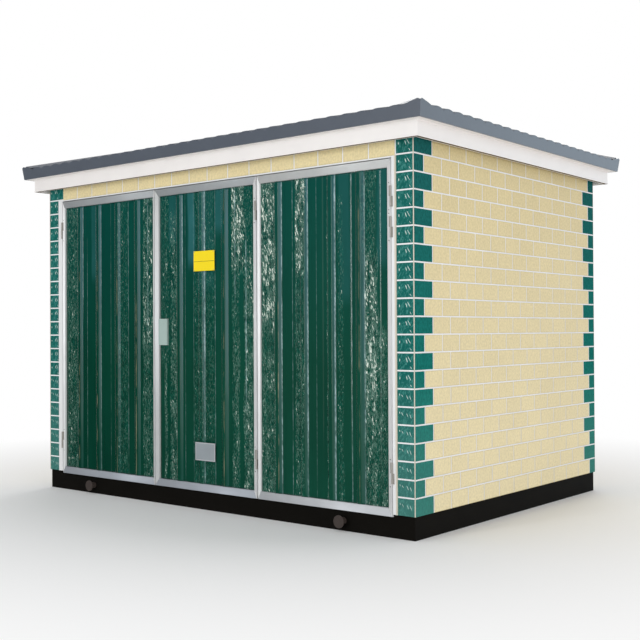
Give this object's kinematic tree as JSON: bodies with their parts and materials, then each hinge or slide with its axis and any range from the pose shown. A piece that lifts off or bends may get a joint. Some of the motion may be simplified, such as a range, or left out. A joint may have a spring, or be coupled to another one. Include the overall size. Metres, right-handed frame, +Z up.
{
  "type": "compact substation",
  "caption": "Box type compact substation: brick clad hollow enclosure on a steel base, ribbed double and single doors in front, white cornice and hip roof of wave profiled sheet.",
  "frame": {"origin": "centre of the overall footprint, at the underside of the base", "axes": "+X right along the door front, +Y inward from the door front to the back, +Z up"},
  "size_m": [3.48, 2.52, 2.6198],
  "materials": {
    "base_paint": "matt black paint",
    "lug_steel": "dull brown grey, weathered",
    "floor_steel": "dark grey paint",
    "cream_brick": "cream brick pattern with white joints, satin",
    "quoin_green": "teal green corner bricks, glossy and crinkled",
    "frame_paint": "off white paint",
    "door_aluminium": "satin extruded sections",
    "door_green": "dark green, glossy, under wrinkled clear film",
    "hinge_steel": "dull plated steel",
    "lock_grey": "pale grey green, satin",
    "sign_yellow": "yellow enamel",
    "plate_silver": "satin",
    "trim_white": "white paint, satin",
    "roof_grey": "slate grey coating, satin"
  },
  "bodies": {
    "housing": {"back_wall": "cream_brick", "base_back_rail": "base_paint", "base_cross_members": "base_paint", "base_front_rail": "base_paint", "base_left_rail": "base_paint", "base_right_rail": "base_paint", "corner_posts": "frame_paint", "cornice_back": "trim_white", "cornice_front": "trim_white", "cornice_left": "trim_white", "cornice_right": "trim_white", "door_head": "door_aluminium", "door_jambs": "door_aluminium", "fascia_back": "roof_grey", "fascia_front": "roof_grey", "fascia_left": "roof_grey", "fascia_right": "roof_grey", "floor_plate": "floor_steel", "frame_knuckles": "hinge_steel", "front_header": "cream_brick", "front_left_pier": "quoin_green", "front_right_pier": "quoin_green", "hip_caps": "roof_grey", "left_wall": "cream_brick", "lifting_lugs": "lug_steel", "mullion": "frame_paint", "ridge_cap": "roof_grey", "right_wall": "cream_brick", "roof_back_slope": "roof_grey", "roof_front_slope": "roof_grey", "roof_left_slope": "roof_grey", "roof_right_slope": "roof_grey", "soffit_panel": "trim_white"},
    "left_door": {"left_door_frame": "door_aluminium", "left_door_knuckles": "hinge_steel", "left_door_panel": "door_green"},
    "middle_door": {"middle_door_frame": "door_aluminium", "middle_door_knuckles": "hinge_steel", "middle_door_panel": "door_green", "lock_plate": "lock_grey", "sign_plate": "sign_yellow", "name_plate": "plate_silver"},
    "right_door": {"right_door_frame": "door_aluminium", "right_door_knuckles": "hinge_steel", "right_door_panel": "door_green"}
  },
  "joints": [
    {"name": "left_door_hinge", "type": "hinge", "parent": "housing", "child": "left_door", "pos_m": [-1.4445, -1.1295, 1.1], "axis": [0, 0, -1], "range_deg": [0, 90]},
    {"name": "middle_door_hinge", "type": "hinge", "parent": "housing", "child": "middle_door", "pos_m": [0.454, -1.1295, 1.1], "axis": [0, 0, 1], "range_deg": [0, 90]},
    {"name": "right_door_hinge", "type": "hinge", "parent": "housing", "child": "right_door", "pos_m": [1.4535, -1.1295, 1.1], "axis": [0, 0, 1], "range_deg": [0, 90]}
  ]
}
